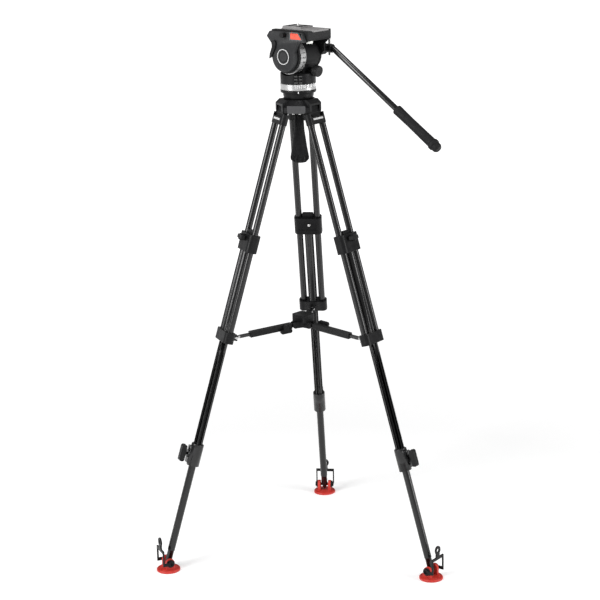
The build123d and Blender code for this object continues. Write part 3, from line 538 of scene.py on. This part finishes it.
# ---- every CAD node, softened and in its material ----
def head_and_crown():
    """Everything above the legs, with the spreader's hub."""
    plan = (
        (CASTING, CROWN_EDGE, ("crown",)),
        (STEEL, CRISP_EDGE, ("crown_fasteners", "clamp_bolt", "tilt_axle", "camera_screw", "bar_screw")),
        (CASTING, SOFT_EDGE, ("levelling_ball", "clamp_cup", "spreader_hub")),
        (BLACK_RUBBER, MOULDED_EDGE, ("bowl_clamp_handle",)),
        (TURNED, FINE_EDGE, ("pan_drag_ring", "tilt_drag_ring")),
        (COMPOSITE, SOFT_EDGE, ("pan_housing", "pan_brake_lever", "counterbalance_knob")),
        (COMPOSITE, SOFT_EDGE, ("tilt_body", "right_cover")),
        (COVER, COVER_EDGE, ("left_cover",)),
        (STEEL, NO_EDGE, ("counterbalance_spring",)),
        (LEVEL_WHITE, FINE_EDGE, ("bubble_level",)),
        (NYLON, FINE_EDGE, ("tilt_brake_lever", "plate_clamp_knob")),
        (RED_PLASTIC, MOULDED_EDGE, ("release_lever",)),
        (PLATE_METAL, FINE_EDGE, ("camera_plate",)),
        (COMPOSITE, MOULDED_EDGE, ("bar_clamp",)),
        (ANODISED, NO_EDGE, ("pan_bar",)),
        (BLACK_RUBBER, SOFT_EDGE, ("grip",)),
    )
    shapes = {}
    for material, width, nodes in plan:
        for node in nodes:
            shapes[node] = finished(node, material, width)
    ways = [joint_axis(f"leg_fold_{leg}").cross(UP) for leg in LEGS]
    paint(shapes["crown_fasteners"], NYLON, lambda centre, normal: any(
        (centre * MM - TRIPOD_AXIS).dot(way) > PIN_REACH * MM for way in ways))
    for index, way in enumerate(ways):
        block_face(index, -way)


def block_face(index, out):
    """The grey face plate of the crown block that looks along a direction."""
    crown = frame["nodes"]["crown"].data
    reach = max((vertex.co - TRIPOD_AXIS).dot(out) for vertex in crown.vertices) / MM
    hinges = Vector((AXIS.x, AXIS.y, joint_point("leg_fold_rear").z))
    place = facing(Matrix.Translation(hinges), (0, 0, BLOCK_FACE_HIGH), out)
    right = [(20.5, -9.2), (22, -8), (22, 7), (19, 9.2)]
    left = [(-x, y) for x, y in reversed(right)]
    prism(f"block_face_{index}", right + left, reach - 0.6, reach + 0.5, BLOCK_GREY, "crown", place,
          FINE_EDGE)


def bar_reach(leg):
    """How far the spreader's inner bar reaches from the hub pivot, in millimetres."""
    mesh = frame["nodes"][f"spreader_bar_{leg}"].data
    inverse = arm_frame(leg).inverted()
    return max((inverse @ vertex.co).x for vertex in mesh.vertices) / MM


def legs():
    """The three legs with their feet, and the spreader's arms."""
    plan = (
        ("leg_castings", CASTING, CAST_EDGE), ("upper_tubes", ANODISED, NO_EDGE),
        ("slider", CASTING, CAST_EDGE), ("slider_knob", NYLON, KNOB_EDGE),
        ("mid_tube", ANODISED, NO_EDGE), ("clamp_knob", NYLON, KNOB_EDGE),
        ("lower_tube", ANODISED, NO_EDGE),
    )
    for leg in LEGS:
        for node, material, width in plan:
            finished(f"{node}_{leg}", material, width, leg_frame(leg))
        pivot = joint_point(f"foot_tilt_{leg}")
        hinge = joint_axis(f"leg_fold_{leg}")
        foot = finished(f"foot_{leg}", RED_RUBBER, MOULDED_EDGE, Matrix.Translation(pivot))
        paint(foot, NYLON, lambda centre, normal: abs(centre.dot(hinge)) > BUTTON_START
              and centre.z > BUTTON_LOW)
        finished(f"bail_{leg}", NYLON, SOFT_EDGE, foot_frame(leg))
        finished(f"spreader_arm_{leg}", CASTING, MOULDED_EDGE, arm_frame(leg))
        bar = finished(f"spreader_bar_{leg}", ANODISED, FINE_EDGE, arm_frame(leg))
        tip = bar_reach(leg) - BRIGHT_TIP
        paint(bar, TURNED, lambda centre, normal: centre.x > tip)


# ---- details that ride on the CAD bodies ----
def cover_details():
    """A raised ring with a shallow dish inside it on the left cover's cap."""
    side = facing(TILT_FRAME, (0, 0, 0), (1, 0, 0))
    inner, outer = CAP_RING_R - 0.9, CAP_RING_R + 0.9
    low, high = CAP_FACE - 0.1, CAP_FACE + 0.6
    lathe("cover_ring", [(inner, low), (outer, low), (outer, high), (inner, high)], LABEL, "tilt", side, 96)
    base, rim = CAP_FACE - 0.2, CAP_FACE + 0.5
    dish = [(0, base), (11, base), (12.5, rim), (13.5, rim), (13.8, base), (14, base - 0.1), (0, base - 0.1)]
    lathe("cover_dish", dish, COMPOSITE, "tilt", side, 96)


def lever_bezel():
    """A raised frame round the release lever, drawn in the YZ plane."""
    outer = [(20.5, 41.0), (20.5, 59.5), (48.5, 59.5), (61.5, 41.0)]
    inner = [(23.3, 43.2), (23.3, 57.2), (46.6, 57.2), (56.8, 43.2)]
    levels = ((outer, 0.0), (outer, 0.9), (inner, 0.9), (inner, -4.0))
    work = bmesh.new()
    rings = []
    for outline, rise in levels:
        rings.append([work.verts.new(Vector((COVER_FACE + rise, y, z)) * MM) for y, z in outline])
    for here, there in zip(rings, rings[1:] + rings[:1]):
        for index in range(len(outer)):
            after = (index + 1) % len(outer)
            work.faces.new((here[index], here[after], there[after], there[index]))
    from_bmesh("lever_bezel", work, FRAME_GREY, "tilt", TILT_FRAME, 0.0005)


def index_mark():
    """The white line on the ball's flange."""
    mark = facing(PAN_FRAME, (0, 0, MARK_HIGH), CAMERA_SIDE)
    plate("index_mark", (-0.9, 0.9), (-2.4, 2.4), (RING_R - 0.4, RING_R + 0.25), WHITE_MARK, "ball", mark)


def brake_ribs():
    """Three rows of two ridges on the pan brake lever; their lighter grey is a painted highlight."""
    pivot = Matrix.Translation(joint_point("pan_brake_turn"))
    body = body_name("pan_brake_lever")
    depth = (BRAKE_FACE_R - 0.8, BRAKE_FACE_R + 0.8)
    for row in (-7.6, 0.0, 7.6):
        place = facing(pivot, (0, 0, row), CAMERA_SIDE)
        for low, high in ((-9.5, -1.6), (1.6, 9.5)):
            name = f"brake_rib_{row:.0f}_{low:.0f}".replace("-", "m")
            plate(name, (low, high), (-1.5, 1.5), depth, RIB_PLASTIC_PAINTED_SHEEN, body, place, 0.0009)


def plate_pads():
    """Rubber strips across the camera plate."""
    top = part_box("camera_plate")[1].z / MM - TILT.z / MM
    for index, y in enumerate((-19, -9.5, 15, 24)):
        plate(f"plate_pad_{index}", (-19, 19), (y - 2.6, y + 2.6), (top - 0.6, top + 0.5),
              BLACK_RUBBER, "plate", TILT_FRAME)


def dial_figure(step, out):
    """One plain figure standing on the tilt drag ring."""
    figure = bpy.data.curves.new(f"dial_figure_{step}", "FONT")
    figure.body = str(step)
    figure.size = 11 * MM
    figure.extrude = 0.25 * MM
    figure.offset = 0.25 * MM
    figure.align_x = "CENTER"
    figure.align_y = "CENTER"
    figure.materials.append(NYLON)
    text = bpy.data.objects.new(f"dial_figure_{step}", figure)
    bpy.context.scene.collection.objects.link(text)
    place = Vector((DIAL_MIDDLE - 1.8, 0, 0)) + out * RING_R
    text.matrix_world = facing(TILT_FRAME, place, out, (1, 0, 0))
    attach(text, "tilt_ring")


def dial_marks():
    """Ticks and figures round the tilt drag ring."""
    for step in range(DIAL_FIGURES):
        angle = radians(DIAL_START - DIAL_STEP * step)
        out = Vector((0, cos(angle), sin(angle)))
        place = facing(TILT_FRAME, (DIAL_MIDDLE, 0, 0), out, (1, 0, 0))
        plate(f"dial_tick_{step}", (-0.6, 0.6), (-8.2, -4.2), (RING_R - 0.3, RING_R + 0.3),
              NYLON, "tilt_ring", place)
        dial_figure(step, out)


def leg_details(leg):
    """A leg's plain strip and slider bolt, and its foot's pivot caps and rings."""
    place = leg_frame(leg)
    strip = facing(place, (0, 0, STRIP_MIDDLE), (1, 0, 0))
    plate(f"name_strip_{leg}", (-18.5, 18.5), (-2.3, 2.3), (BRACKET_FACE - 0.2, BRACKET_FACE + 0.25),
          LABEL, f"leg_{leg}", strip, 0.0001)
    bolt = facing(place, SLIDER_BOLT, (-1, 0, 0))
    screw_head(f"slider_bolt_{leg}", 3.4, 1.6, STEEL, f"mid_{leg}", bolt)
    for label, side in (("a", -1), ("b", 1)):
        pivot_cap(f"pivot_cap_{leg}_{label}", leg, side)
    tread(leg)


def pivot_cap(name, leg, side):
    """A black cap over the foot's button on one side."""
    profile = [(0, -0.5), (BUTTON_R, -0.5), (BUTTON_R, 0.0), (BUTTON_R - 0.9, 0.25), (0, 0.25)]
    place = facing(foot_frame(leg), (0, BUTTON_FACE * side, 0), (0, side, 0))
    lathe(name, profile, NYLON, f"foot_{leg}", place, 48)


def tread(leg):
    """Two moulded rings on the foot's upper face."""
    place = Matrix.Translation(joint_point(f"foot_tilt_{leg}"))
    low, high = FOOT_TOP - 0.7, FOOT_TOP + 0.4
    for index, radius in enumerate((24.6, 27.0)):
        profile = [(radius - 0.7, low), (radius + 0.7, low), (radius + 0.4, high), (radius - 0.4, high)]
        lathe(f"foot_ring_{leg}_{index}", profile, RED_RUBBER, f"foot_{leg}", place, 72)


head_and_crown()
legs()
cover_details()
lever_bezel()
index_mark()
brake_ribs()
plate_pads()
dial_marks()
for leg in LEGS:
    leg_details(leg)
